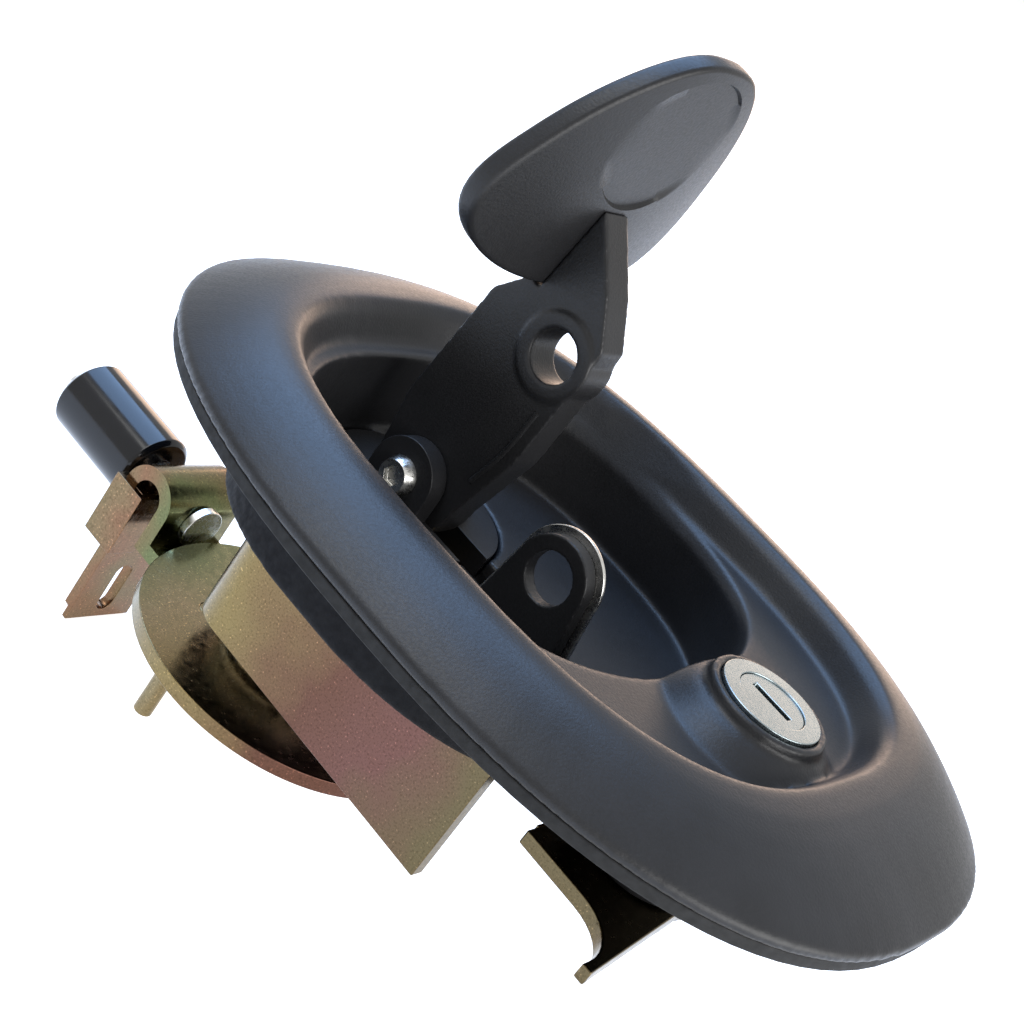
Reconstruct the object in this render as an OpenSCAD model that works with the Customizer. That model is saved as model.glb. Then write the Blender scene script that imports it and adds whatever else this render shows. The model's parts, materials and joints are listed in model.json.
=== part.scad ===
// Whale tail lock: a fold-out T handle in an oval dish, on a spindle that turns a roller latch arm
// Origin: centre of the dish on the panel face. +Z out of the front, +X along the dish to the key lock

/* [Dish] */
// Length of the dish over its rim
body_l = 140; // [130:1:160]
// Width of the dish over its rim
body_w = 108; // [100:1:120]
// Squareness of the outer outline, 2 is an ellipse
outline_power = 2.45; // [2:0.05:2.6]
// Height of the rim's upright edge
rim_edge_h = 1.5; // [1:0.1:3]
// Height of the inner lip above the rim's underside
lip_h = 8.3; // [7:0.1:10]
// Length of the opening inside the lip
lip_l = 100; // [96:1:104]
// Width of the opening inside the lip
lip_w = 82; // [80:1:86]
// Offset of the opening towards the lock
lip_x = -2.1; // [-3:0.1:0]
// Squareness of the opening
lip_power = 2.75; // [2.4:0.05:3]
// Width of the flat on top of the lip
lip_flat = 1.4; // [0.8:0.1:2.5]
// Height of the shelf round the lock above the rim's underside
shelf_h = 2.5; // [2:0.1:3.5]
// Inward run of the slope from the lip to the shelf
shelf_run = 3.5; // [3:0.5:5]
// Length of the deep pocket's floor
pocket_l = 68; // [64:1:70]
// Width of the deep pocket's floor
pocket_w = 71; // [68:1:72]
// Squareness of the pocket
pocket_power = 2.5; // [2.2:0.05:2.8]
// Offset of the pocket away from the lock
pocket_x = -12; // [-13:0.5:-11]
// Depth of the pocket below the rim's underside
pocket_depth = 11.5; // [10.5:0.5:13]
// Height of the mouth's lower edge above the rim's underside
mouth_h = 0.5; // [0:0.1:2]
// Wall of the casting
wall = 4; // [3:0.5:5]
// Widening of the pocket's mouth on each side
pocket_flare = 5; // [4:0.5:6]
// Thickness of the rubber gasket
gasket_t = 2; // [1.5:0.1:3]
// Step of the gasket inside the rim's edge
gasket_inset = 0.6; // [0.3:0.1:1.5]
// Width of the gasket
gasket_band = 7; // [5:0.5:9]

/* [Key lock] */
// Distance of the lock's axis from the centre
lock_x = 33.2; // [31:0.1:35]
// Radius of the lock barrel
barrel_r = 8.1; // [7.5:0.1:8.5]
// Radius of the turning plug
plug_r = 5.4; // [5:0.1:6]
// Wall of the collar round the barrel
collar_wall = 1.5; // [1:0.1:2]
// Radius of the mound round the lock, at its foot
mound_r = 16; // [14:0.5:18]
// Step from the mound up to the barrel's face
mound_step = 2.4; // [1.5:0.1:3]
// Height of the barrel's face above the shelf
face_h = 5.7; // [5:0.1:6.5]
// Depth of the barrel's seat below the rim's underside
lock_depth = 24; // [22:0.5:26]
// Length of the lock's cam from its axis
lock_cam_l = 13; // [10:0.5:15]

/* [Spindle] */
// Distance of the spindle's axis from the centre
spindle_x = -30.2; // [-32:0.1:-28]
// Radius of the turret in the pocket's floor
turret_r = 15; // [14:0.5:17]
// Radius of the spindle's shaft
shaft_r = 8; // [7.5:0.1:9]
// Wall of the bearing bush
bush_wall = 2; // [1.5:0.1:3]
// Wall of the boss that holds the bush
boss_wall = 6; // [4:0.5:8]
// Length of the boss behind the pocket's floor
boss_l = 24.5; // [22:0.5:26]
// Width across the spindle's square end
square_w = 10; // [8:0.5:10.5]
// Height of the pivot above the pocket's floor
pivot_rise = 3.8; // [3.5:0.1:4.5]
// Radius of the pivot screw
pivot_r = 2.4; // [2:0.1:3]
// Thickness of each pivot ear
ear_t = 3.6; // [3:0.1:5]
// Radius of the ears' tops
ear_r = 6; // [5:0.5:7]

/* [Handle] */
// Thickness of the handle's stem
stem_t = 6; // [5:0.5:7]
// Radius of the stem's round foot
stem_foot_r = 8.5; // [8:0.5:9]
// Reach of the stem in front of the pivot, beside the padlock hole
stem_front = 13.1; // [12:0.1:14]
// Reach of the stem behind the pivot
stem_rear = 9.5; // [9:0.1:10.5]
// Height of the stem's front above the pivot, where it starts to run straight up
stem_knee = 13; // [12:0.5:15]
// Height of the stem's shoulder above the padlock hole's distance
stem_shoulder = 4.5; // [3.5:0.5:6]
// Height of the stem's neck above the padlock hole's distance
stem_neck = 11; // [10:0.5:12]
// Length of the tail's seat on the stem
tail_seat = 15.5; // [14:0.5:17]
// Distance from the pivot to the padlock hole
hole_arm = 29.9; // [28:0.1:31]
// Radius of the padlock holes
hole_r = 4; // [3.5:0.1:4.4]
// Angle of the padlock hole above the panel as the handle stands
hole_angle = 76; // [74:1:80]
// Width of the raised ring round the padlock hole
hole_ring = 2.4; // [2:0.1:2.8]
// Height of the raised ring
hole_ring_h = 0.4; // [0.3:0.05:0.45]
// Angle of the tail above the panel as the handle stands
tail_angle = 83; // [80:1:86]
// Distance of the tail's underside from the pivot
tail_offset = 5.5; // [4.5:0.5:7]
// Distance of the tail's middle from the pivot, along the tail
tail_reach = 55; // [54:0.5:58]
// Length of the tail
tail_l = 40.5; // [39:0.5:43]
// Width of the tail before its taper
tail_w = 44.5; // [42:0.5:48]
// Thickness of the tail
tail_t = 3.6; // [3.2:0.1:4.5]
// Radius that the tail is curved to
tail_bend = 80; // [70:1:100]
// Squareness of the tail's outline
tail_power = 2.6; // [2.2:0.1:3]
// Taper of the tail towards its tip
tail_taper = 0.38; // [0.3:0.01:0.42]
// Radius of the round thumb recess under the tail
recess_r = 11.5; // [10:0.5:12]
// Depth of the thumb recess
recess_depth = 0.7; // [0.5:0.1:1]
// Distance of the thumb recess beyond the tail's middle
recess_shift = 6.5; // [5:0.5:8]

/* [Padlock lug] */
// Angle of the lug's hole above the panel, seen from the pivot
lug_angle = 13; // [11:1:15]
// Thickness of the lug
lug_t = 2.6; // [2:0.1:3.5]
// Metal round the lug's hole
lug_ring = 2.4; // [2:0.1:3]
// Half width of the lug's foot
lug_foot = 8; // [7:0.1:9]
// Thickness of the bright wear plate behind the lug
wear_t = 0.7; // [0.5:0.1:1]
// Reach of the wear plate beyond the lug
wear_edge = 1.2; // [0.8:0.1:1.5]

/* [Rear strap and foot] */
// Thickness of the plated steel sheet
sheet_t = 2.5; // [2:0.1:3]
// Half width of the strap
strap_w = 26; // [25:0.5:28]
// Distance from the spindle to the strap's closed end
strap_back = 7; // [5:0.5:9]
// Radius of the strap's bends
strap_bend = 7; // [5:0.5:9]
// Distance from the centre to the strap's open end
strap_end = 17.9; // [16:0.1:18.5]
// Height of the strap's walls
strap_h = 22; // [20:0.5:23]
// Half width of the clamp foot's neck
foot_w = 17; // [15:0.5:18]
// Half width of the clamp foot's flared end
foot_span = 27.5; // [26.5:0.5:30]
// Distance from the centre to the foot's tips
foot_end = 46.2; // [45:0.2:48]
// Hollow of the foot's end between its tips
foot_dip = 3.2; // [2:0.2:4]
// Radius of the flare
foot_flare = 9; // [7:0.5:10]
// Width of the foot's tips
foot_tip = 1.8; // [1.5:0.1:2.5]
// Distance between the fixing bosses along the dish
fixing_x = 70; // [66:1:72]
// Distance between the fixing bosses across the dish
fixing_y = 68; // [66:1:70]
// Offset of the fixing bosses away from the lock
fixing_shift = -7; // [-9:0.5:-5]
// Radius of the fixing bosses
fixing_r = 3.6; // [3:0.1:4]
// Radius of the threaded fixing holes
fixing_hole_r = 1.7; // [1.4:0.1:2]
// Length of the fixing bosses below the rim's underside
fixing_l = 9; // [7:0.5:11]

/* [Latch arm] */
// Radius of the round cam plate
cam_plate_r = 27.5; // [26:0.5:30]
// Height of the spring washers
spring_h = 5.5; // [4:0.5:7]
// Width of the latch arm
arm_w = 16; // [14:0.5:18]
// Distance from the spindle to the arm's upright
arm_l = 30; // [29.6:0.2:32]
// Inner radius of the arm's folded hook
hook_r = 3; // [2.7:0.1:3.2]
// Drop of the hook's leg below the roller's axis
leg_drop = 5; // [4:0.5:6]
// Radius of the roller
roller_r = 6.8; // [6:0.1:7.2]
// Length of the roller
roller_l = 20.5; // [19:0.5:24]
// Radius of the roller's pin
roller_pin_r = 2.8; // [2.5:0.1:3.2]
// Length of the link plate
link_l = 28; // [26:0.5:32]
// Width of the link plate
link_w = 14; // [12:0.5:15]
// Height of the clip on the link plate
clip_h = 12; // [10:0.5:13]
// Thickness of the link plate
link_t = 2; // [1.5:0.1:2.5]
// Width of the link plate's slot
link_slot = 3.4; // [2.6:0.1:4]

/* [Fits] */
// Radial clearance of turning fits
turn_gap = 0.05; // [0.02:0.01:0.08]
// Gap between pieces that pass each other
pass_gap = 0.35; // [0.3:0.05:0.5]
// Clearance round pieces that are fixed together
seat_gap = 0.02; // [0.01:0.01:0.03]

/* [Hidden] */
$fn = 64;
ring_points = 90;
rim_steps = 6;
cut = 1;

rim_z = gasket_t;
lip_z = rim_z + lip_h;
shelf_z = rim_z + shelf_h;
floor_z = rim_z - pocket_depth;
floor_back = floor_z - wall;
boss_end = floor_back - boss_l;
bush_r = shaft_r + turn_gap + bush_wall;
pivot_z = floor_z + pivot_rise;
pivot = [spindle_x, 0, pivot_z];
slot_w = stem_t + 2 * pass_gap;
fold_slot = 27;
ear_out = slot_w / 2 + ear_t;

face_z = shelf_z + face_h;
collar_r = barrel_r + collar_wall;
seat_z = rim_z - lock_depth;
plug_tail_l = 2;
nut_h = 2.4;
nut_wall = 1.4;
nut_edge = 0.3;
barrel_end = seat_z - sheet_t - nut_h - nut_edge;

washer_h = 1.5;
thrust_z = boss_end - turn_gap;
spring_z = thrust_z - washer_h;
cam_plate_z = spring_z - spring_h;
arm_z = cam_plate_z - sheet_t;
arm_back = arm_z - sheet_t;
upright_x = spindle_x - arm_l;
hook_x = upright_x - sheet_t - hook_r;
leg_x = hook_x - hook_r - sheet_t;
pin_head = 1.4;
edge = 1.2;
roller_z = arm_z + roller_pin_r + pin_head;
roller_x = leg_x - edge - pass_gap;
hook_z = roller_z + cut;
leg_low = roller_z - leg_drop;
clip_t = 1;

hole_pos = pivot + hole_arm * [cos(hole_angle), 0, sin(hole_angle)];
lug_pos = pivot + hole_arm * [cos(lug_angle), 0, sin(lug_angle)];
wear_y = -stem_t / 2 - hole_ring_h - pass_gap;
lug_y = wear_y - wear_t;

black = [0.07, 0.07, 0.08];
rubber = [0.03, 0.03, 0.03];
steel = [0.75, 0.75, 0.73];
gold = [0.62, 0.52, 0.33];

function power(v, p) = sign(v) * pow(abs(v), 2 / p);
function outline(l, w, p, x, z) = [for (i = [0:ring_points - 1])
  let (a = 360 * i / ring_points) [x + l / 2 * power(cos(a), p), w / 2 * power(sin(a), p), z]];
function flat(points) = [for (q = points) [q[0], q[1]]];
function outer(grow, z) = outline(body_l + 2 * grow, body_w + 2 * grow, outline_power, 0, z);
function pocket(grow, z) = outline(pocket_l + 2 * grow, pocket_w + 2 * grow, pocket_power, pocket_x, z);
function lip(grow, z) = outline(lip_l + 2 * grow, lip_w + 2 * grow, lip_power, lip_x, z);
// Ring a share of the way from the rim's edge to the lip, on a convex profile
function rim_ring(share) = let (a = outer(0, 0), b = lip(lip_flat, 0),
  z = rim_z + rim_edge_h + (lip_h - rim_edge_h) * (1 - pow(1 - share, 1.7)))
  [for (i = [0:ring_points - 1]) [a[i][0] + (b[i][0] - a[i][0]) * share,
    a[i][1] + (b[i][1] - a[i][1]) * share, z]];
// Half width of the tail at a share of its half length
function tail_half(s) = tail_w / 2 * pow(1 - pow(abs(s), tail_power), 1 / tail_power) * (1 - tail_taper * s);

module loft(rings) {
  n = len(rings[0]);
  m = len(rings);
  polyhedron(points = [for (r = rings) each r],
    faces = concat([[for (i = [0:n - 1]) i]],
      [for (k = [0:m - 2], i = [0:n - 1]) [k * n + i, (k + 1) * n + i, (k + 1) * n + (i + 1) % n]],
      [for (k = [0:m - 2], i = [0:n - 1]) [k * n + i, (k + 1) * n + (i + 1) % n, k * n + (i + 1) % n]],
      [[for (i = [n - 1:-1:0]) (m - 1) * n + i]]));
}

module disc(r, low, high, at = [0, 0]) {
  translate([at[0], at[1], low]) cylinder(r = r, h = high - low);
}

module slab(low, high) {
  translate([0, 0, low]) linear_extrude(high - low) children();
}

// Upright plate across Y, drawn as X and Z
module upright(low, high) {
  translate([0, high, 0]) rotate([90, 0, 0]) linear_extrude(high - low) children();
}

module across(r, low, high, at) {
  translate([at[0], low, at[2]]) rotate([-90, 0, 0]) cylinder(r = r, h = high - low);
}

module along(r, low, high, y, z) {
  translate([low, y, z]) rotate([0, 90, 0]) cylinder(r = r, h = high - low);
}

module at_fixings() {
  for (x = [-1, 1], y = [-1, 1]) translate([fixing_shift + x * fixing_x / 2, y * fixing_y / 2]) children();
}

strap_screw_out = 17;
strap_screw_x = spindle_x + bush_r + boss_wall + strap_screw_out;
strap_screw_y = 14;
strap_screw_r = 2;
strap_screw_grip = wall - 1.2;
module at_strap_screws() {
  for (y = [-1, 1]) translate([strap_screw_x, y * strap_screw_y]) children();
}

module dish_body() {
  color(black) difference() {
    union() {
      difference() {
        union() {
          difference() {
            union() {
              loft([outer(0, rim_z), for (k = [0:rim_steps]) rim_ring(k / rim_steps)]);
              slab(floor_back, rim_z + cut) polygon(flat(pocket(wall, 0)));
            }
            loft([lip(-shelf_run, shelf_z), lip(-lip_flat, lip_z - lip_flat), lip(0, lip_z), lip(cut, lip_z + cut)]);
          }
          lock_mound();
        }
        pocket_mouth();
        slab(floor_z, lip_z) polygon(flat(pocket(0, 0)));
      }
      disc(bush_r + boss_wall, boss_end, floor_back + cut, [spindle_x, 0]);
      disc(collar_r, seat_z, face_z - 0.3, [lock_x, 0]);
      slab(rim_z - fixing_l, rim_z + rim_edge_h) at_fixings() circle(fixing_r);
    }
    disc(turret_r + pass_gap, floor_back, floor_z + cut, [spindle_x, 0]);
    disc(bush_r + seat_gap, boss_end - cut, floor_z, [spindle_x, 0]);
    translate([spindle_x, -slot_w / 2, floor_back - pass_gap]) cube([fold_slot, slot_w, wall + cut]);
    disc(barrel_r + seat_gap, seat_z - cut, face_z + cut, [lock_x, 0]);
    slab(rim_z - fixing_l - cut, rim_z + rim_edge_h - cut) at_fixings() circle(fixing_hole_r);
    slab(floor_back - cut, floor_back + strap_screw_grip) at_strap_screws() circle(strap_screw_r + seat_gap);
  }
}

// Sloped mouth of the pocket, steep at the lock end and wide along the sides
module pocket_mouth() {
  loft([pocket(0, rim_z + mouth_h),
    outline(pocket_l + cut, pocket_w + 2 * pocket_flare, pocket_power, pocket_x, lip_z)]);
}

module lock_mound() {
  top = face_z - mound_step;
  translate([lock_x, 0, shelf_z - cut]) cylinder(r1 = mound_r, r2 = collar_r + 1, h = top - shelf_z + cut);
}

module rim_gasket() {
  color(rubber) slab(0, gasket_t) difference() {
    polygon(flat(outer(-gasket_inset, 0)));
    polygon(flat(outer(-gasket_inset - gasket_band, 0)));
    at_fixings() circle(fixing_r + pass_gap);
  }
}

module lug_shape(grow) {
  r = hole_r + lug_ring + grow;
  translate([lug_pos[0], lug_pos[2]]) circle(r);
  polygon([[lug_pos[0] - lug_foot - grow, floor_z], [lug_pos[0] + lug_foot + grow, floor_z],
    [lug_pos[0] + r, lug_pos[2]], [lug_pos[0] - r, lug_pos[2]]]);
}

module padlock_lug() {
  color(black) difference() {
    upright(lug_y - lug_t, lug_y) lug_shape(0);
    across(hole_r, lug_y - lug_t - cut, lug_y + cut, lug_pos);
  }
}

module lug_wear_plate() {
  color(steel) difference() {
    upright(lug_y, wear_y) lug_shape(wear_edge);
    across(hole_r + wear_edge, lug_y - cut, wear_y + cut, lug_pos);
  }
}

module lock_barrel() {
  color(steel) difference() {
    disc(barrel_r, barrel_end, face_z, [lock_x, 0]);
    disc(plug_r + turn_gap, barrel_end - cut, face_z + cut, [lock_x, 0]);
  }
}

module lock_nut() {
  color(steel) difference() {
    disc(barrel_r + nut_wall, seat_z - sheet_t - nut_h, seat_z - sheet_t, [lock_x, 0]);
    disc(barrel_r + seat_gap, seat_z - sheet_t - nut_h - cut, seat_z, [lock_x, 0]);
  }
}

module spindle_bush() {
  color([0.72, 0.6, 0.3]) difference() {
    disc(bush_r, boss_end, floor_back - pass_gap, [spindle_x, 0]);
    disc(shaft_r + turn_gap, boss_end - cut, floor_back, [spindle_x, 0]);
  }
}

module strap_plan(inset) {
  low = spindle_x - strap_back + inset;
  w = strap_w - inset;
  r = strap_bend - inset;
  for (side = [-1, 1]) translate([low + r, side * (w - r)]) circle(r);
  translate([low, r - w]) square([r, 2 * (w - r)]);
  translate([low + r, -w]) square([strap_end - low - r + inset * cut, 2 * w]);
}

module clamp_strap() {
  color(gold) difference() {
    slab(floor_back - strap_h, floor_back) strap_plan(0);
    slab(floor_back - strap_h - cut, floor_back - sheet_t) strap_plan(sheet_t);
    disc(bush_r + boss_wall + pass_gap, floor_back - strap_h, floor_back + cut, [spindle_x, 0]);
    slab(floor_back - strap_h, floor_back + cut) at_strap_screws() circle(strap_screw_r + seat_gap);
  }
}

module strap_screws() {
  color(steel) at_strap_screws() {
    disc(strap_screw_r, floor_back - sheet_t - cut, floor_back + strap_screw_grip);
    difference() {
      disc(strap_screw_r * 1.9, floor_back - sheet_t - strap_screw_r, floor_back - sheet_t);
      translate([0, 0, floor_back - sheet_t - strap_screw_r - cut])
        cylinder(r = strap_screw_r * 0.8, h = strap_screw_r / 2 + cut, $fn = 6);
    }
  }
}

// Flat plate clamped behind the lock, flared to two tips at its end
module clamp_foot() {
  back = seat_z - sheet_t;
  neck_end = foot_end - foot_tip - foot_flare;
  half = concat([[lock_x - collar_r, foot_w]],
    [for (a = [0:10:90]) [neck_end + foot_flare * sin(a), foot_w + foot_flare * (1 - cos(a))]],
    [[foot_end - foot_tip, foot_span], [foot_end, foot_span]]);
  color(gold) difference() {
    slab(back, seat_z) polygon(concat(half, [[foot_end - foot_dip, 0]],
      [for (k = [len(half) - 1:-1:0]) [half[k][0], -half[k][1]]]));
    disc(barrel_r + seat_gap, back - cut, seat_z + cut, [lock_x, 0]);
  }
}

module spindle() {
  slot_r = stem_foot_r + pass_gap;
  ear_low = floor_z - cut;
  color(black) difference() {
    union() {
      disc(turret_r, floor_back + turn_gap, floor_z, [spindle_x, 0]);
      disc(shaft_r, cam_plate_z, floor_z, [spindle_x, 0]);
      translate([spindle_x - square_w / 2, -square_w / 2, arm_back])
        cube([square_w, square_w, cam_plate_z - arm_back + cut]);
      for (side = [-1, 1]) upright(side * (slot_w + ear_t) / 2 - ear_t / 2, side * (slot_w + ear_t) / 2 + ear_t / 2) {
        translate([spindle_x, pivot_z]) circle(ear_r);
        translate([spindle_x - ear_r, ear_low]) square([2 * ear_r, pivot_z - ear_low]);
      }
    }
    across(slot_r, -slot_w / 2, slot_w / 2, pivot);
    translate([spindle_x, -slot_w / 2, floor_back - pass_gap]) cube([turret_r + cut, slot_w, wall + cut]);
    across(pivot_r + seat_gap, -ear_out - cut, ear_out + cut, pivot);
    disc(arm_screw_r + seat_gap, arm_back - cut, arm_back + arm_screw_grip, [spindle_x, 0]);
  }
}

pivot_head_r = 3.2;
pivot_head_h = 2;
pivot_nut_h = 2.6;
module pivot_screw() {
  color(steel) difference() {
    union() {
      across(pivot_r, -ear_out - cut, ear_out + pivot_nut_h, pivot);
      translate([spindle_x, -ear_out, pivot_z]) rotate([90, 0, 0])
        cylinder(r1 = pivot_head_r, r2 = pivot_head_r - 0.7, h = pivot_head_h);
    }
    translate([spindle_x, -ear_out - pivot_head_h / 2, pivot_z]) rotate([90, 0, 0])
      cylinder(r = pivot_head_r * 0.5, h = pivot_head_h, $fn = 6);
  }
}

module pivot_nut() {
  color(steel) difference() {
    translate([spindle_x, ear_out, pivot_z]) rotate([-90, 0, 0])
      cylinder(r = pivot_r * 1.75, h = pivot_nut_h, $fn = 6);
    across(pivot_r + seat_gap, ear_out - cut, ear_out + pivot_nut_h + cut, pivot);
  }
}

module thrust_washer() {
  color(steel) difference() {
    disc(bush_r + boss_wall / 2, spring_z, thrust_z, [spindle_x, 0]);
    disc(shaft_r + seat_gap, spring_z - cut, thrust_z + cut, [spindle_x, 0]);
  }
}

// Stack of cone spring washers between the thrust washer and the cam plate
module spring_washers() {
  washers = 4;
  pitch = spring_h / washers;
  thick = pitch * 0.55;
  inner = shaft_r + seat_gap;
  outer_r = inner + 4;
  color(steel) for (k = [0:washers - 1])
    translate([spindle_x, 0, cam_plate_z + k * pitch]) rotate_extrude() {
      rise = pitch - thick;
      up = k % 2 == 0;
      polygon([[inner, up ? rise : 0], [outer_r, up ? 0 : rise],
        [outer_r, (up ? 0 : rise) + thick], [inner, (up ? rise : 0) + thick]]);
    }
}

module square_hole(low, high) {
  w = square_w + 2 * seat_gap;
  translate([spindle_x - w / 2, -w / 2, low - cut]) cube([w, w, high - low + 2 * cut]);
}

pin_r = 1.6;
pin_out = 12.6;
pin_at = [spindle_x - pin_out, -arm_w / 2 - pin_r - pass_gap];
pin_l = 20;
module cam_plate() {
  color(gold) difference() {
    disc(cam_plate_r, arm_z, cam_plate_z, [spindle_x, 0]);
    square_hole(arm_z, cam_plate_z);
    disc(pin_r + seat_gap, arm_z - cut, cam_plate_z + cut, pin_at);
  }
}

module stop_pin() {
  color(gold) disc(pin_r, arm_z - pin_l, cam_plate_z, pin_at);
}

// Plate on the cam plate, turned up at its end and folded over to hold the roller's pin twice
module latch_arm() {
  color(gold) difference() {
    union() {
      slab(arm_back, arm_z) {
        translate([spindle_x, 0]) circle(arm_w / 2);
        translate([upright_x - sheet_t, -arm_w / 2]) square([arm_l + sheet_t, arm_w]);
      }
      upright(-arm_w / 2, arm_w / 2) {
        translate([upright_x - sheet_t, arm_back]) square([sheet_t, hook_z - arm_back]);
        translate([hook_x, hook_z]) intersection() {
          difference() {
            circle(hook_r + sheet_t);
            circle(hook_r);
          }
          translate([-2 * hook_r, 0]) square([4 * hook_r, 2 * hook_r]);
        }
        translate([leg_x, leg_low]) square([sheet_t, hook_z - leg_low]);
      }
    }
    square_hole(arm_back, arm_z);
    along(roller_pin_r + seat_gap, leg_x - cut, upright_x + cut, 0, roller_z);
  }
}

arm_screw_r = 3;
arm_screw_grip = 8;
module arm_washer() {
  color(steel) difference() {
    disc(arm_w / 2 - cut / 2, arm_back - washer_h, arm_back, [spindle_x, 0]);
    disc(arm_screw_r + seat_gap, arm_back - washer_h - cut, arm_back + cut, [spindle_x, 0]);
  }
}

module arm_screw() {
  head_low = arm_back - washer_h - arm_screw_r;
  color(steel) difference() {
    union() {
      disc(arm_screw_r, head_low, arm_back + arm_screw_grip - cut, [spindle_x, 0]);
      translate([spindle_x, 0, head_low]) cylinder(r = arm_screw_r * 1.9, h = arm_screw_r, $fn = 6);
    }
    disc(arm_screw_r * 0.6, head_low - cut, head_low + cut / 2, [spindle_x, 0]);
  }
}

module roller_pin() {
  head_t = 1.5;
  color(steel) {
    along(roller_pin_r, roller_x - roller_l - 2 * pass_gap - clip_t - cut, upright_x + head_t, 0, roller_z);
    along(roller_pin_r + pin_head - pass_gap, upright_x, upright_x + head_t, 0, roller_z);
  }
}

module roller_clip() {
  low = roller_x - roller_l - pass_gap - clip_t;
  color(steel) difference() {
    along(roller_pin_r + 1.4, low, low + clip_t, 0, roller_z);
    along(roller_pin_r + seat_gap, low - cut, low + clip_t + cut, 0, roller_z);
  }
}

module roller() {
  chamfer = 0.8;
  bore = roller_pin_r + turn_gap;
  color(black) translate([roller_x, 0, roller_z]) rotate([0, -90, 0]) rotate_extrude()
    polygon([[bore, 0], [roller_r - chamfer, 0], [roller_r, chamfer], [roller_r, roller_l - chamfer],
      [roller_r - chamfer, roller_l], [bore, roller_l]]);
}

link_x = leg_x + sheet_t;
link_low = hook_z - link_l;
link_neck = roller_z - roller_pin_r - 2 * pass_gap;
clip_y = -roller_pin_r - 2 * pass_gap;
// Slotted plate that hangs inside the hook's leg, narrow where the roller's pin passes
module link_plate() {
  slot_l = link_l * 0.36;
  slot_y = (link_w - arm_w) / 2;
  color(gold) difference() {
    union() {
      translate([link_x, -arm_w / 2, link_low]) cube([link_t, link_w, link_neck - link_low]);
      translate([link_x, -arm_w / 2, link_low]) cube([link_t, arm_w / 2 + clip_y - edge, hook_z - link_low]);
    }
    for (z = [link_slot, slot_l]) along(link_slot / 2, link_x - cut, link_x + link_t + cut, slot_y, link_low + z);
    translate([link_x - cut, slot_y - link_slot / 2, link_low + link_slot])
      cube([link_t + 2 * cut, link_slot, slot_l - link_slot]);
    translate([link_x - cut, -arm_w / 2, link_low]) rotate([45, 0, 0]) cube([link_t + 2 * cut, link_slot, link_slot],
      center = true);
  }
}

// Folded clip that closes round the leg and the link plate
module link_clip() {
  low = hook_z - clip_h;
  inner = sheet_t + link_t;
  color(steel) difference() {
    translate([leg_x - edge, -arm_w / 2 - edge, low]) cube([inner + 2 * edge, clip_y + arm_w / 2 + edge, clip_h]);
    translate([leg_x - seat_gap, -arm_w / 2 - seat_gap, low - cut])
      cube([inner + 2 * seat_gap, arm_w, clip_h + 2 * cut]);
  }
}

// Places children so that X runs along the tail, Z out of its back, with the pivot as origin
module on_tail() {
  translate(pivot) rotate([0, -tail_angle, 0]) translate([0, 0, tail_offset]) children();
}

module tail_cylinder(r, from = tail_reach - tail_l) {
  translate([from, 0, tail_bend]) rotate([0, 90, 0]) cylinder(r = r, h = 2 * tail_l);
}

module tail_outline() {
  steps = 28;
  half = [for (k = [0:steps]) let (s = -cos(180 * k / steps)) [tail_reach + s * tail_l / 2, tail_half(s)]];
  polygon(concat(half, [for (k = [steps - 1:-1:1]) [half[k][0], -half[k][1]]]));
}

module stem_shape() {
  foot = stem_foot_r;
  tail_low = tail_reach - tail_l / 2;
  function on(u, w) = u * [cos(tail_angle), sin(tail_angle)] + w * [-sin(tail_angle), cos(tail_angle)];
  circle(foot);
  polygon([[foot, 0], [stem_front - cut, stem_knee], [stem_front, hole_arm], [stem_front, hole_arm + stem_shoulder],
    [stem_front - stem_shoulder, hole_arm + stem_neck], on(tail_low + tail_seat, tail_offset + cut),
    on(tail_low - cut, tail_offset + tail_t - cut), [-foot + cut, hole_arm], [-stem_rear, stem_rear], [-foot, 0]]);
}

module handle_stem() {
  color(black) difference() {
    union() {
      translate([spindle_x, 0, pivot_z]) upright(-stem_t / 2, stem_t / 2) stem_shape();
      across(hole_r + hole_ring, -stem_t / 2 - hole_ring_h, stem_t / 2 + hole_ring_h, hole_pos);
    }
    across(pivot_r + turn_gap, -stem_t, stem_t, pivot);
    across(hole_r, -stem_t, stem_t, hole_pos);
    on_tail() tail_cylinder(tail_bend + seat_gap, tail_reach - tail_l / 2 - pass_gap);
    on_tail() at_tail_screws() disc(tail_screw_r + seat_gap, -tail_screw_l, cut);
  }
}

tail_screw_r = 1.4;
tail_screw_l = 4.5;
tail_screw_at = tail_reach - tail_l / 2 + tail_seat / 4;
module at_tail_screws() {
  for (k = [0, 1]) translate([tail_screw_at + k * tail_seat / 4, 0]) children();
}

module whale_tail() {
  color(black) on_tail() difference() {
    intersection() {
      slab(0, tail_bend / 2) tail_outline();
      tail_cylinder(tail_bend);
    }
    tail_cylinder(tail_bend - tail_t);
    disc(recess_r, -cut, recess_depth, [tail_reach + recess_shift, 0]);
    at_tail_screws() disc(tail_screw_r + seat_gap, -cut, tail_t + cut);
    at_tail_screws() disc(tail_screw_r * 2 + seat_gap, tail_t - tail_screw_r, tail_t + cut);
  }
}

module tail_screws() {
  head = tail_screw_r - 0.3;
  color(steel) on_tail() at_tail_screws() {
    disc(tail_screw_r, -tail_screw_l + cut, tail_t - tail_screw_r);
    difference() {
      disc(tail_screw_r * 2, tail_t - tail_screw_r, tail_t - tail_screw_r + head);
      translate([0, 0, tail_t - tail_screw_r + head / 2]) cylinder(r = tail_screw_r, h = head, $fn = 6);
    }
  }
}

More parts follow.
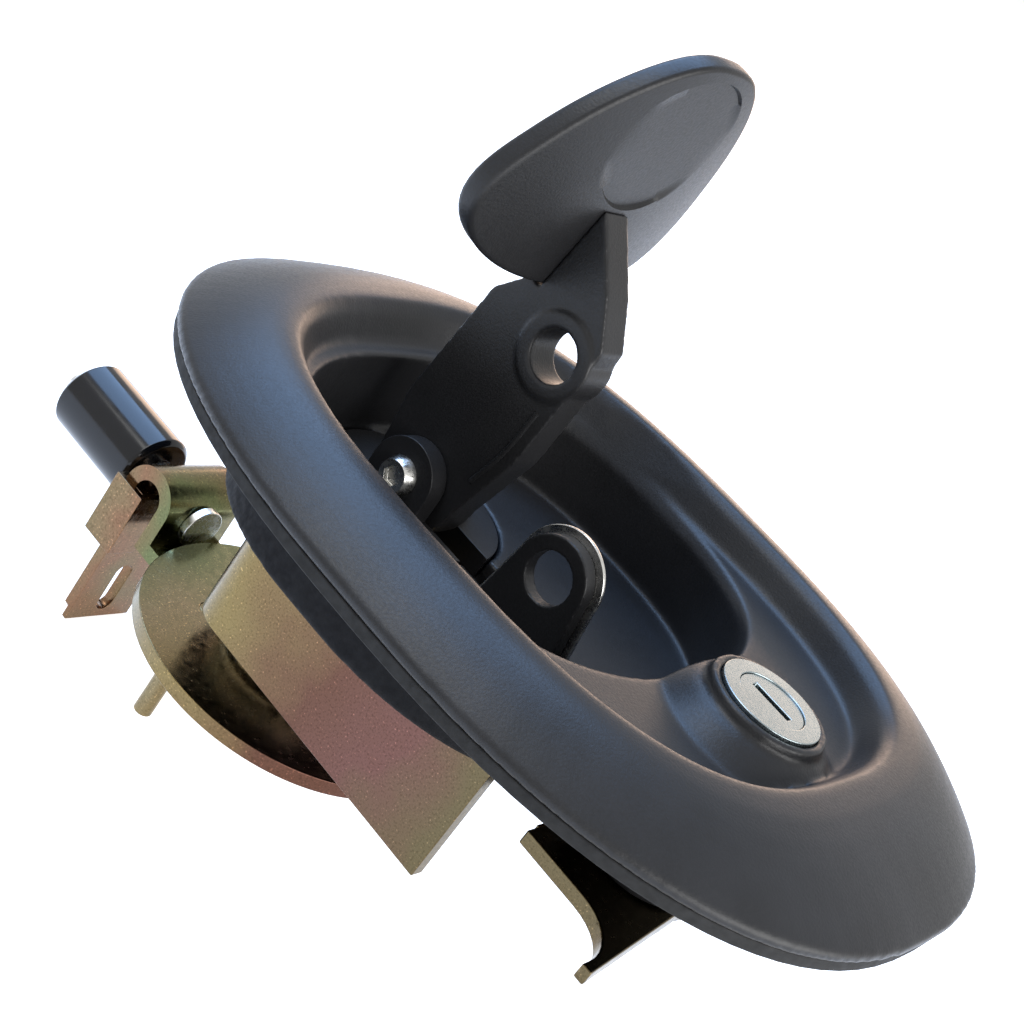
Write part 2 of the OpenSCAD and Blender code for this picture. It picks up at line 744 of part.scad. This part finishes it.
module lock_plug() {
  slot = [plug_r * 1.3, 1.3, 4];
  color(steel) difference() {
    union() {
      disc(plug_r, barrel_end - seat_gap, face_z - 0.2, [lock_x, 0]);
      translate([lock_x - plug_r * 0.6, -plug_r * 0.6, barrel_end - plug_tail_l])
        cube([plug_r * 1.2, plug_r * 1.2, plug_tail_l]);
    }
    translate([lock_x - slot[0] / 2, -slot[1] / 2, face_z - slot[2]]) cube(slot);
    disc(cam_screw_r + seat_gap, barrel_end - plug_tail_l - cut, barrel_end + cut, [lock_x, 0]);
  }
}

cam_screw_r = 1.6;
module lock_cam() {
  w = plug_r * 1.2 + 2 * seat_gap;
  low = barrel_end - plug_tail_l;
  color(gold) difference() {
    slab(low, barrel_end - pass_gap) {
      translate([lock_x, 0]) circle(plug_r + nut_edge * 2);
      translate([lock_x - lock_cam_l, -plug_r]) square([lock_cam_l, 2 * plug_r]);
    }
    translate([lock_x - w / 2, -w / 2, low - cut]) cube([w, w, plug_tail_l + 2 * cut]);
  }
}

module cam_screw() {
  low = barrel_end - plug_tail_l;
  color(steel) {
    disc(cam_screw_r, low - cut, barrel_end, [lock_x, 0]);
    disc(cam_screw_r * 1.9, low - cut, low, [lock_x, 0]);
  }
}

dish_body();
rim_gasket();
padlock_lug();
lug_wear_plate();
lock_barrel();
lock_nut();
spindle_bush();
clamp_strap();
strap_screws();
clamp_foot();
spindle();
pivot_screw();
pivot_nut();
thrust_washer();
spring_washers();
cam_plate();
stop_pin();
latch_arm();
arm_washer();
arm_screw();
roller_pin();
roller_clip();
link_plate();
link_clip();
handle_stem();
whale_tail();
tail_screws();
roller();
lock_plug();
lock_cam();
cam_screw();
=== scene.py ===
import json
import math

import bmesh
import bpy
from mathutils import Matrix, Vector


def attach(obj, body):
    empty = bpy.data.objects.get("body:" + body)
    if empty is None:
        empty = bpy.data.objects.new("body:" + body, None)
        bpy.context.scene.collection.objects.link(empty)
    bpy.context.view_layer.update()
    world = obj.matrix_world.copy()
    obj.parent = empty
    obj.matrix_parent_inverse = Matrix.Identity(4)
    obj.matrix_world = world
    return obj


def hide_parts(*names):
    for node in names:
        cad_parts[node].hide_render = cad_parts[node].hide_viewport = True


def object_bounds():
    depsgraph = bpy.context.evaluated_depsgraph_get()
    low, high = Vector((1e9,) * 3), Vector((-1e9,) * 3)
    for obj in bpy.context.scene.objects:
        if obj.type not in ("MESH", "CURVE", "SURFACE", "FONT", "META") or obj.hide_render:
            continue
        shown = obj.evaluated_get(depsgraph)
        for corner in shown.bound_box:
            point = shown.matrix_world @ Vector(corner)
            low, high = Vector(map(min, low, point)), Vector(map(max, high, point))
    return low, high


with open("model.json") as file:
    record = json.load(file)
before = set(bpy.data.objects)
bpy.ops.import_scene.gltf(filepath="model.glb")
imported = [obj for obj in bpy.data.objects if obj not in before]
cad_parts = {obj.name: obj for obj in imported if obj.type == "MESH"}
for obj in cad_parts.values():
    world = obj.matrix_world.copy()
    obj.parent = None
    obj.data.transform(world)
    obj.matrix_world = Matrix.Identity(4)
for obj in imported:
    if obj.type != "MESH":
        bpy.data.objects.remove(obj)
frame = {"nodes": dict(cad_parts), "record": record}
cad_box = [list(corner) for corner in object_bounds()]
MM = 0.001
scene = bpy.context.scene
scene.view_settings.view_transform = "Standard"
bodies = frame["record"]["behaviour"]["bodies"]
body_of = {node: body for body, members in bodies.items() for node in members}
slot_of = {part["node"]: part["material_slot"] for part in frame["record"]["subparts"]}


# Materials: colours are linear, noise scales are per metre, heights are in metres

NOISE_LOW, NOISE_HIGH = 0.3, 0.7  # most noise values lie between these
NOISE_SKEW = (1, 0.7, 1.3)  # how an offset is shared over X, Y and Z


class Look:
    """A principled material with a small set of procedural helpers"""

    def __init__(self, name, color, metallic, roughness, specular=0.5):
        self.mat = bpy.data.materials.new(name)
        self.mat.use_nodes = True
        self.tree = self.mat.node_tree
        self.shader = self.tree.nodes["Principled BSDF"]
        self.shader.inputs["Base Color"].default_value = (*color, 1)
        self.shader.inputs["Metallic"].default_value = metallic
        self.shader.inputs["Roughness"].default_value = roughness
        self.shader.inputs["Specular IOR Level"].default_value = specular
        self.coords = self.tree.nodes.new("ShaderNodeTexCoord").outputs["Object"]

    def link(self, a, b):
        self.tree.links.new(a, b)

    def noise(self, scale, detail=3, stretch=(1, 1, 1), offset=0.0):
        mapping = self.tree.nodes.new("ShaderNodeMapping")
        mapping.inputs["Scale"].default_value = stretch
        mapping.inputs["Location"].default_value = tuple(offset * share for share in NOISE_SKEW)
        self.link(self.coords, mapping.inputs["Vector"])
        node = self.tree.nodes.new("ShaderNodeTexNoise")
        node.inputs["Scale"].default_value = scale
        node.inputs["Detail"].default_value = detail
        self.link(mapping.outputs["Vector"], node.inputs["Vector"])
        return node.outputs["Fac"]

    def map_range(self, value, from_low, from_high, to_low, to_high):
        node = self.tree.nodes.new("ShaderNodeMapRange")
        node.inputs["From Min"].default_value = from_low
        node.inputs["From Max"].default_value = from_high
        node.inputs["To Min"].default_value = to_low
        node.inputs["To Max"].default_value = to_high
        self.link(value, node.inputs["Value"])
        return node.outputs["Result"]

    def along_x(self, low, high, value, share):
        """0 to 1 from low to high along the part, stirred by a value about 0.5"""
        split = self.tree.nodes.new("ShaderNodeSeparateXYZ")
        self.link(self.coords, split.inputs["Vector"])
        place = self.map_range(split.outputs["X"], low, high, -share / 2, 1 - share / 2)
        stir = self.tree.nodes.new("ShaderNodeMath")
        stir.operation = "MULTIPLY_ADD"
        stir.inputs[1].default_value = share
        self.link(value, stir.inputs[0])
        self.link(place, stir.inputs[2])
        return stir.outputs[0]

    def ramp(self, value, stops):
        node = self.tree.nodes.new("ShaderNodeValToRGB")
        elements = node.color_ramp.elements
        while len(elements) < len(stops):
            elements.new(0.5)
        for element, (place, color) in zip(elements, stops):
            element.position = place
            element.color = (*color, 1)
        self.link(value, node.inputs["Fac"])
        return node.outputs["Color"]

    def color(self, value, stops):
        self.link(self.ramp(value, stops), self.shader.inputs["Base Color"])
        return self

    def rough(self, value, low, high):
        spread = self.map_range(value, NOISE_LOW, NOISE_HIGH, low, high)
        self.link(spread, self.shader.inputs["Roughness"])
        return self

    def bump(self, value, height, strength):
        node = self.tree.nodes.new("ShaderNodeBump")
        node.inputs["Strength"].default_value = strength
        node.inputs["Distance"].default_value = height
        self.link(value, node.inputs["Height"])
        self.link(node.outputs["Normal"], self.shader.inputs["Normal"])
        return self


def shade(color, share):
    return tuple(share * c for c in color)


def plain_black(name, color, roughness, specular, gloss, relief):
    """A black surface of one colour

    gloss: noise scale, lowest and highest roughness
    relief: noise scale and detail, height and strength of the bump
    """
    look = Look(name, color, metallic=0, roughness=roughness, specular=specular)
    gloss_scale, low, high = gloss
    look.rough(look.noise(gloss_scale), low, high)
    relief_scale, detail, height, strength = relief
    look.bump(look.noise(relief_scale, detail), height, strength)
    return look.mat


def powder_coat(name, color, roughness, grain_scale):
    """Matt black coat: broad faint blotches and a fine grain"""
    look = Look(name, color, metallic=0, roughness=roughness, specular=0.3)
    grain = look.noise(grain_scale, detail=2)
    blotch = look.noise(scale=60, offset=3.1)
    look.color(blotch, [(0.35, shade(color, 0.8)), (0.65, shade(color, 1.25))])
    look.rough(grain, low=roughness - 0.05, high=roughness + 0.07)
    look.bump(grain, height=0.06 * MM, strength=0.5)
    return look.mat


def plated(name, stops, x_span, roughness, offset):
    """Passivated zinc: colours that drift along the part, with dark and bright specks"""
    look = Look(name, stops[0][1], metallic=1, roughness=roughness)
    drift = look.along_x(*x_span, look.noise(scale=60, offset=offset), share=0.24)
    broad = look.ramp(drift, stops)
    speck = look.ramp(look.noise(scale=3000, offset=offset), [
        (0.34, (0.7, 0.7, 0.68)), (0.48, (1, 1, 1)), (0.64, (1, 1, 1)), (0.71, (2.4, 2.2, 2.1))])
    mix = look.tree.nodes.new("ShaderNodeMix")
    mix.data_type = "RGBA"
    mix.blend_type = "MULTIPLY"
    mix.inputs["Factor"].default_value = 1
    look.link(broad, mix.inputs["A"])
    look.link(speck, mix.inputs["B"])
    look.link(mix.outputs["Result"], look.shader.inputs["Base Color"])
    look.rough(look.noise(scale=900, detail=2, offset=offset),
               low=roughness - 0.05, high=roughness + 0.08)
    look.bump(look.noise(scale=1500, offset=offset), height=0.02 * MM, strength=0.4)
    return look.mat


def brushed(name, color, roughness, stretch=(1, 1, 1), scale=900):
    """Bare metal with a fine grain, drawn out along an axis where its stretch is small"""
    look = Look(name, color, metallic=1, roughness=roughness)
    lines = look.noise(scale, stretch=stretch)
    look.color(look.noise(scale=120, detail=2),
               [(NOISE_LOW, shade(color, 0.85)), (NOISE_HIGH, color)])
    look.rough(lines, low=roughness - 0.07, high=roughness + 0.1)
    look.bump(lines, height=0.02 * MM, strength=0.35)
    return look.mat


PLATED_SPAN = (-90 * MM, 20 * MM)  # the colours drift along X from the roller towards the lock
PLATED_STOPS = [  # rose, gold, copper, green, pale gold, gold, red-brown, rose-brown, olive
    (0.02, (0.15, 0.115, 0.10)), (0.12, (0.17, 0.15, 0.075)), (0.2, (0.19, 0.105, 0.06)),
    (0.3, (0.12, 0.135, 0.06)), (0.44, (0.20, 0.16, 0.09)), (0.54, (0.19, 0.14, 0.06)),
    (0.71, (0.11, 0.055, 0.038)), (0.85, (0.125, 0.062, 0.05)), (0.97, (0.11, 0.085, 0.045))]

casting = powder_coat("black_casting", (0.014, 0.014, 0.015), roughness=0.38, grain_scale=2600)
# Painted shade: the casting's rear gets a darker, rougher black with little shine, standing in
# for the shade under the dish
rough_rear_painted_shade = plain_black("rough_rear_painted_shade", (0.007, 0.007, 0.008), roughness=0.65, specular=0.12,
                           gloss=(900, 0.55, 0.75), relief=(1400, 3, 0.08 * MM, 0.6))
LOOKS = {
    "black_casting": casting,
    "gasket_rubber": plain_black(
        "gasket_rubber", (0.012, 0.012, 0.012), roughness=0.75, specular=0.3,
        gloss=(700, 0.65, 0.85), relief=(1800, 2, 0.05 * MM, 0.4)),
    "plated_sheet": plated("plated_sheet", PLATED_STOPS, PLATED_SPAN, roughness=0.2, offset=1.7),
    "bright_steel": brushed("bright_steel", (0.62, 0.61, 0.58), roughness=0.25),
    "lock_face": brushed("lock_face", (0.33, 0.38, 0.39), roughness=0.24, scale=3200),
    "bush_brass": brushed("bush_brass", (0.62, 0.45, 0.2), roughness=0.3, stretch=(1, 1, 0.1)),
    "roller_black": plain_black(
        "roller_black", (0.005, 0.005, 0.006), roughness=0.12, specular=0.35,
        gloss=(300, 0.08, 0.2), relief=(400, 2, 0.01 * MM, 0.3)),
}


# Pieces: a skin over each CAD node, lengths in millimetres

WELD = 0.002  # vertices closer than this are one
FLAT_ANGLE, SHARP_ANGLE, CREASE_ANGLE = math.radians(0.6), math.radians(34), math.radians(40)
BEVEL_STEPS = 2
EDGE_BEVEL = 0.15
BEVELS = {"clamp_strap": 0.3, "roller": 0.2, "rim_gasket": 0.3, "cam_plate": 0.3,
          "latch_arm": 0.3, "clamp_foot": 0.3}
# Cast nodes: voxel size, rounds of smoothing, share of the faces that is kept
CAST = {"dish_body": (0.6, 5, 0.5), "handle_stem": (0.25, 10, 0.7), "padlock_lug": (0.25, 3, 0.4)}


def put(mesh, name, body, look):
    obj = bpy.data.objects.new(name, mesh)
    scene.collection.objects.link(obj)
    mesh.materials.clear()
    mesh.materials.append(look)
    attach(obj, body)
    return obj


def put_skin(mesh, node):
    slot = slot_of[node]
    obj = put(mesh, node + "_skin", body_of[node], LOOKS[slot])
    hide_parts(node)
    return obj


def skin(node, bevel):
    """A copy of a CAD node with its edges eased, shown in the node's place"""
    bm = bmesh.new()
    bm.from_mesh(frame["nodes"][node].data)
    bmesh.ops.remove_doubles(bm, verts=bm.verts, dist=WELD * MM)
    bmesh.ops.dissolve_limit(bm, angle_limit=FLAT_ANGLE, verts=bm.verts, edges=bm.edges)
    sharp = [edge for edge in bm.edges
             if len(edge.link_faces) == 2 and edge.calc_face_angle(0) > SHARP_ANGLE]
    if sharp:
        bmesh.ops.bevel(bm, geom=sharp, offset=bevel * MM, segments=BEVEL_STEPS, profile=0.5,
                        affect="EDGES", clamp_overlap=True)
    mesh = bpy.data.meshes.new(node + "_skin")
    bm.to_mesh(mesh)
    bm.free()
    mesh.shade_smooth()
    mesh.set_sharp_from_angle(angle=CREASE_ANGLE)
    modifier = put_skin(mesh, node).modifiers.new("weighted", "WEIGHTED_NORMAL")
    modifier.keep_sharp = True


def cast_skin(node, voxel, soften, keep):
    """A copy of a cast CAD node with every edge rounded a little, shown in the node's place"""
    copy = bpy.data.objects.new(node + "_copy", frame["nodes"][node].data.copy())
    scene.collection.objects.link(copy)
    remesh = copy.modifiers.new("remesh", "REMESH")
    remesh.mode = "VOXEL"
    remesh.voxel_size = voxel * MM
    smooth = copy.modifiers.new("smooth", "SMOOTH")
    smooth.factor = 0.5
    smooth.iterations = soften
    thin = copy.modifiers.new("thin", "DECIMATE")
    thin.ratio = keep
    bpy.context.view_layer.update()
    shown = copy.evaluated_get(bpy.context.evaluated_depsgraph_get())
    mesh = bpy.data.meshes.new_from_object(shown)
    bpy.data.objects.remove(copy)
    mesh.name = node + "_skin"
    mesh.shade_smooth()
    return put_skin(mesh, node)


cast = {node: cast_skin(node, *values) for node, values in CAST.items()}
for node in body_of:
    if node not in CAST and node != "whale_tail":
        skin(node, BEVELS.get(node, EDGE_BEVEL))


# The casting's rear in a rougher black, painted darker as painted shade under the dish: all that
# lies behind the rim and outside the pocket

POCKET_L, POCKET_W, POCKET_X, POCKET_POWER, POCKET_FLOOR = 68.0, 71.0, -12.0, 2.5, -9.5
WALL, RIM_BACK = 4.0, 2.0

dish_mesh = cast["dish_body"].data
dish_mesh.materials.append(rough_rear_painted_shade)
for face in dish_mesh.polygons:
    x, y, z = face.center / MM
    spread = (abs((x - POCKET_X) / (POCKET_L / 2 + WALL / 2)) ** POCKET_POWER
              + abs(y / (POCKET_W / 2 + WALL / 2)) ** POCKET_POWER)
    if z < RIM_BACK and (spread > 1 or z < POCKET_FLOOR - WALL / 2):
        face.material_index = len(dish_mesh.materials) - 1


# Raised lines inside the stem's front edge, one on each side

SPINDLE_X, PIVOT_Z = -30.2, -5.7
RIB_R, RIB_Y = 0.45, 2.85
RIB_PLACES = [(8.0, 6.0), (9.7, 12.8), (10.4, 21.2)]  # X and Z from the pivot


def stem_rib(name, y):
    curve = bpy.data.curves.new(name, "CURVE")
    curve.dimensions = "3D"
    curve.bevel_depth = RIB_R * MM
    curve.bevel_resolution = 3
    curve.use_fill_caps = True
    line = curve.splines.new("BEZIER")
    line.bezier_points.add(len(RIB_PLACES) - 1)
    for point, (x, z) in zip(line.bezier_points, RIB_PLACES):
        point.co = (MM * (SPINDLE_X + x), MM * y, MM * (PIVOT_Z + z))
        point.handle_left_type = point.handle_right_type = "AUTO"
    obj = bpy.data.objects.new(name, curve)
    scene.collection.objects.link(obj)
    curve.materials.append(casting)
    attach(obj, "handle")


stem_rib("stem_rib_near", -RIB_Y)
stem_rib("stem_rib_far", RIB_Y)


# Whale tail: the CAD tail's plan and bend, with rounded edges and a soft thumb recess

TAIL_ANGLE, TAIL_OFFSET = math.radians(83), 5.5
TAIL_REACH, TAIL_L, TAIL_W, TAIL_T = 55.0, 40.5, 44.5, 3.6
TAIL_BEND, TAIL_POWER, TAIL_TAPER = 80.0, 2.6, 0.38
RECESS_R, RECESS_DEPTH, RECESS_AT = 11.5, 0.7, TAIL_REACH + 6.5
LOWER_ROUND, UPPER_ROUND = 0.7, 1.3
LOWER_STEPS, UPPER_STEPS = 4, 5
TURNS = 144
SEARCH_REACH, SEARCH_STEPS = 60.0, 40
# Where the rings of the mesh lie: shares of the way out over the recess, on from its rim to the
# rounded edge, and back in over the other face
RECESS_SHARES, RECESS_RIM = (0.3, 0.6, 0.85, 0.985), 1.012
FACE_SHARES = (0, 0.03, 0.3, 0.65, 0.97, 1)
BACK_SHARES = (0.04, 0.35, 0.7)
TAIL_CREASE = math.radians(50)


def on_pivot(u, y, w):
    """Millimetres along the tail, across it and out of its back, to metres in the frame"""
    w += TAIL_OFFSET
    return Vector((SPINDLE_X + u * math.cos(TAIL_ANGLE) - w * math.sin(TAIL_ANGLE), y,
                   PIVOT_Z + u * math.sin(TAIL_ANGLE) + w * math.cos(TAIL_ANGLE))) * MM


def bent(y, w):
    """How far out a point lies once the tail is bent across its width"""
    return TAIL_BEND - math.sqrt((TAIL_BEND - w) ** 2 - y * y)


def in_plan(u, y):
    share = (u - TAIL_REACH) / (TAIL_L / 2)
    if abs(share) >= 1:
        return False
    oval = (1 - abs(share) ** TAIL_POWER) ** (1 / TAIL_POWER)
    return abs(y) < TAIL_W / 2 * oval * (1 - TAIL_TAPER * share)


def tail_edge(turn):
    """A point of the tail's plan in a direction from the recess's centre"""
    away = Vector((math.cos(turn), math.sin(turn)))
    near, far = 0.0, SEARCH_REACH
    for _ in range(SEARCH_STEPS):
        reach = (near + far) / 2
        if in_plan(RECESS_AT + reach * away.x, reach * away.y):
            near = reach
        else:
            far = reach
    return Vector((RECESS_AT, 0)) + near * away


def tail_rings():
    """Rings of (place in the plan, height) from the recess out, round the edge and back in"""
    turns = [2 * math.pi * (k + 0.5) / TURNS for k in range(TURNS)]
    edge = [tail_edge(turn) for turn in turns]
    normals = []
    for k in range(TURNS):
        along = edge[(k + 1) % TURNS] - edge[k - 1]
        normals.append(Vector((along.y, -along.x)).normalized())
    circle = [Vector((RECESS_AT + RECESS_R * math.cos(turn), RECESS_R * math.sin(turn)))
              for turn in turns]
    centre = [Vector((RECESS_AT, 0))] * TURNS

    def inset(depth):
        return [p - n * depth for p, n in zip(edge, normals)]

    def between(a, b, share):
        return [p.lerp(q, share) for p, q in zip(a, b)]

    def ring(plan, height):
        return [(p, bent(p.y, height)) for p in plan]

    rings = []
    for share in RECESS_SHARES:
        plan = between(centre, circle, share)
        rings.append([(p, max(bent(p.y, 0), RECESS_DEPTH)) for p in plan])
    rim = between(centre, circle, RECESS_RIM)
    for share in FACE_SHARES:
        rings.append(ring(between(rim, inset(LOWER_ROUND), share), 0))
    for step in range(1, LOWER_STEPS + 1):
        a = math.radians(90 / LOWER_STEPS * step)
        height = LOWER_ROUND * (1 - math.cos(a))
        rings.append(ring(inset(LOWER_ROUND * (1 - math.sin(a))), height))
    for step in range(UPPER_STEPS + 1):
        a = math.radians(90 / UPPER_STEPS * step)
        height = TAIL_T - UPPER_ROUND * (1 - math.sin(a))
        rings.append(ring(inset(UPPER_ROUND * (1 - math.cos(a))), height))
    for share in BACK_SHARES:
        rings.append(ring(between(inset(UPPER_ROUND), centre, share), TAIL_T))
    return rings


def tail_mesh():
    bm = bmesh.new()
    loops = [[bm.verts.new(on_pivot(p.x, p.y, w)) for p, w in ring] for ring in tail_rings()]
    first = bm.verts.new(on_pivot(RECESS_AT, 0, RECESS_DEPTH))
    last = bm.verts.new(on_pivot(RECESS_AT, 0, TAIL_T))
    for k in range(TURNS):
        n = (k + 1) % TURNS
        bm.faces.new((first, loops[0][k], loops[0][n]))
        for a, b in zip(loops, loops[1:]):
            bm.faces.new((a[k], b[k], b[n], a[n]))
        bm.faces.new((last, loops[-1][n], loops[-1][k]))
    bmesh.ops.recalc_face_normals(bm, faces=bm.faces)
    mesh = bpy.data.meshes.new("whale_tail_form")
    bm.to_mesh(mesh)
    bm.free()
    mesh.shade_smooth()
    mesh.set_sharp_from_angle(angle=TAIL_CREASE)
    return mesh


tail = put(tail_mesh(), "whale_tail_form", "handle", casting)
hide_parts("whale_tail")


# Floor and world: both show white to the camera and in reflections, the floor keeps the shadow

FLOOR_SIZE, FLOOR_DROP = 6, 0.5 * MM
FLOOR_GLOW, WORLD_LIGHT = 0.85, 0.28


def seen_directly(tree):
    """1 for camera, glossy and transmission rays"""
    path = tree.nodes.new("ShaderNodeLightPath")
    seen = path.outputs["Is Camera Ray"]
    for ray in ("Is Glossy Ray", "Is Transmission Ray"):
        either = tree.nodes.new("ShaderNodeMath")
        either.operation = "MAXIMUM"
        tree.links.new(seen, either.inputs[0])
        tree.links.new(path.outputs[ray], either.inputs[1])
        seen = either.outputs[0]
    return seen


bpy.ops.mesh.primitive_plane_add(size=FLOOR_SIZE, location=(0, 0, cad_box[0][2] - FLOOR_DROP))
floor = bpy.context.object
floor.name = "floor"
floor_look = Look("floor", (0.9, 0.9, 0.9), metallic=0, roughness=0.9, specular=0.1)
floor_look.color(floor_look.noise(scale=4, detail=2),
                 [(NOISE_LOW, (0.89, 0.89, 0.89)), (NOISE_HIGH, (0.91, 0.91, 0.91))])
floor.data.materials.append(floor_look.mat)
emission = floor_look.tree.nodes.new("ShaderNodeEmission")
emission.inputs["Strength"].default_value = FLOOR_GLOW
add = floor_look.tree.nodes.new("ShaderNodeAddShader")
mix = floor_look.tree.nodes.new("ShaderNodeMixShader")
floor_look.link(seen_directly(floor_look.tree), mix.inputs["Fac"])
floor_look.link(floor_look.shader.outputs[0], mix.inputs[1])
floor_look.link(floor_look.shader.outputs[0], add.inputs[0])
floor_look.link(emission.outputs[0], add.inputs[1])
floor_look.link(add.outputs[0], mix.inputs[2])
floor_look.link(mix.outputs[0], floor_look.tree.nodes["Material Output"].inputs["Surface"])

world = bpy.data.worlds.new("studio")
scene.world = world
world.use_nodes = True
tree = world.node_tree
background = tree.nodes["Background"]
background.inputs["Color"].default_value = (1, 1, 1, 1)
strength = tree.nodes.new("ShaderNodeMapRange")
strength.inputs["To Min"].default_value = WORLD_LIGHT
strength.inputs["To Max"].default_value = 1.0
tree.links.new(seen_directly(tree), strength.inputs["Value"])
tree.links.new(strength.outputs["Result"], background.inputs["Strength"])


# Lamps, aimed at the middle of the part: place and side in metres, power in watts, colour

LAMPS = {
    "side": ((0.8, -0.1, 0.1), 0.9, 14, (1.0, 1.0, 1.0)),
    "sky": ((-0.45, 0.1, 0.7), 0.7, 10, (0.3, 0.55, 1.0)),
    "top": ((-0.32, -0.42, 0.72), 0.45, 2.5, (1.0, 1.0, 0.98)),
    "back": ((-0.35, 0.8, 0.0), 0.6, 4, (1.0, 0.66, 0.45)),
}
for name, (place, side, power, color) in LAMPS.items():
    light = bpy.data.lights.new(name, "AREA")
    light.energy = power
    light.size = side
    light.color = color
    lamp = bpy.data.objects.new(name, light)
    scene.collection.objects.link(lamp)
    lamp.location = place
    lamp.rotation_euler = (-Vector(place)).to_track_quat("-Z", "Y").to_euler()


# Camera, fitted to the outlines in the photo: radians, millimetres, and pixels of its picture

AZ, EL, ROLL = 0.403964, 0.413446, 0.655906
DISTANCE, AIM_Z = 271.795, 2.0
FOCAL, SHIFT, IMAGE = 1900.0, (71.627, 63.963), 1024
SENSOR, CLIP_START = 36.0, 0.01

back = Vector((math.sin(AZ) * math.cos(EL), -math.cos(AZ) * math.cos(EL), math.sin(EL)))
right = Vector((math.cos(AZ), math.sin(AZ), 0))
up = back.cross(right)
across = math.cos(ROLL) * right + math.sin(ROLL) * up
upward = -math.sin(ROLL) * right + math.cos(ROLL) * up
aim = Vector((0, 0, AIM_Z * MM))
camera = bpy.data.objects.new("camera", bpy.data.cameras.new("camera"))
scene.collection.objects.link(camera)
camera.matrix_world = Matrix.Translation(aim + back * DISTANCE * MM) @ Matrix(
    (across, upward, back)).transposed().to_4x4()
camera.data.sensor_width = SENSOR
camera.data.lens = FOCAL / IMAGE * SENSOR
camera.data.shift_x = -SHIFT[0] / IMAGE
camera.data.shift_y = SHIFT[1] / IMAGE
camera.data.clip_start = CLIP_START
scene.camera = camera
